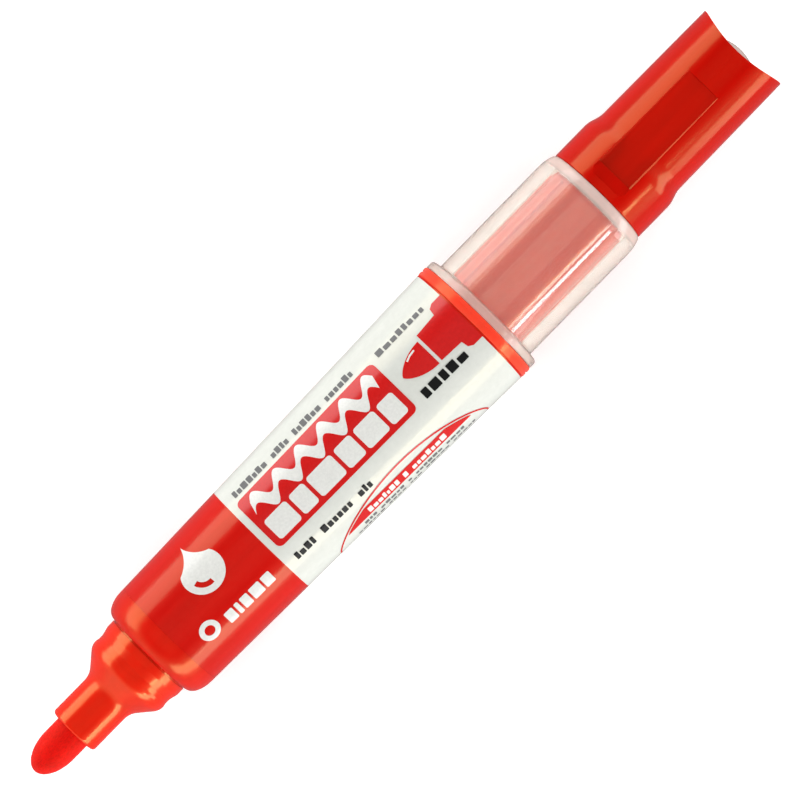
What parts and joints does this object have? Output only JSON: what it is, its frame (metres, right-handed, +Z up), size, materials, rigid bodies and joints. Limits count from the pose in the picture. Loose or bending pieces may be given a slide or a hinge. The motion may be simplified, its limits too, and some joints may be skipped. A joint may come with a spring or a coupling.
{
  "type": "whiteboard marker",
  "caption": "Refillable whiteboard marker with a bullet nib, tapered translucent barrel, pull-off tail plug over an ink cartridge, and a clear cap with a flat-sided crown.",
  "frame": {"origin": "on the surface the marker lies on, below the middle of its length and its axis, with the cap pushed onto the tail", "axes": "+X along the marker from the nib to the cap's crown, +Z up from the surface it lies on, +Y across it"},
  "size_m": [0.1416, 0.0204, 0.0204],
  "materials": {
    "nib_felt": "fine felt soaked with red ink",
    "rod_fibre": "bundled fibre soaked with red ink",
    "nozzle_red": "glossy translucent red",
    "barrel_red": "glossy translucent red",
    "inner_plastic": "natural moulded plastic",
    "label_print": "printed white film",
    "bottle_plastic": "milky blown plastic",
    "seal_rubber": "soft black elastomer",
    "ink_red": "liquid red ink",
    "plug_red": "glossy translucent red",
    "cap_clear": "clear moulded plastic",
    "crown_red": "glossy opaque red"
  },
  "bodies": {
    "barrel": {"barrel": "barrel_red", "nib": "nib_felt", "feed_rod": "rod_fibre", "nozzle": "nozzle_red", "collector": "inner_plastic", "collector_housing": "inner_plastic", "spigot": "inner_plastic", "label_film": "label_print"},
    "cartridge": {"cartridge_bottle": "bottle_plastic", "cartridge_collar": "seal_rubber", "cartridge_stopper": "inner_plastic", "ink": "ink_red"},
    "tail_plug": {"tail_plug": "plug_red"},
    "cap": {"cap_body": "cap_clear", "cap_crown": "crown_red"}
  },
  "joints": [
    {"name": "tail_plug_pull", "type": "slide", "parent": "barrel", "child": "tail_plug", "axis": [1, 0, 0], "range_m": [0, 0.075]},
    {"name": "cartridge_draw", "type": "slide", "parent": "barrel", "child": "cartridge", "axis": [1, 0, 0], "range_m": [0, 0.042]},
    {"name": "cap_pull", "type": "slide", "parent": "tail_plug", "child": "cap", "axis": [1, 0, 0], "range_m": [0, 0.036]}
  ],
  "couplings": [
    {"joint": "cartridge_draw", "follows": "tail_plug_pull", "ratio": 0.56}
  ]
}
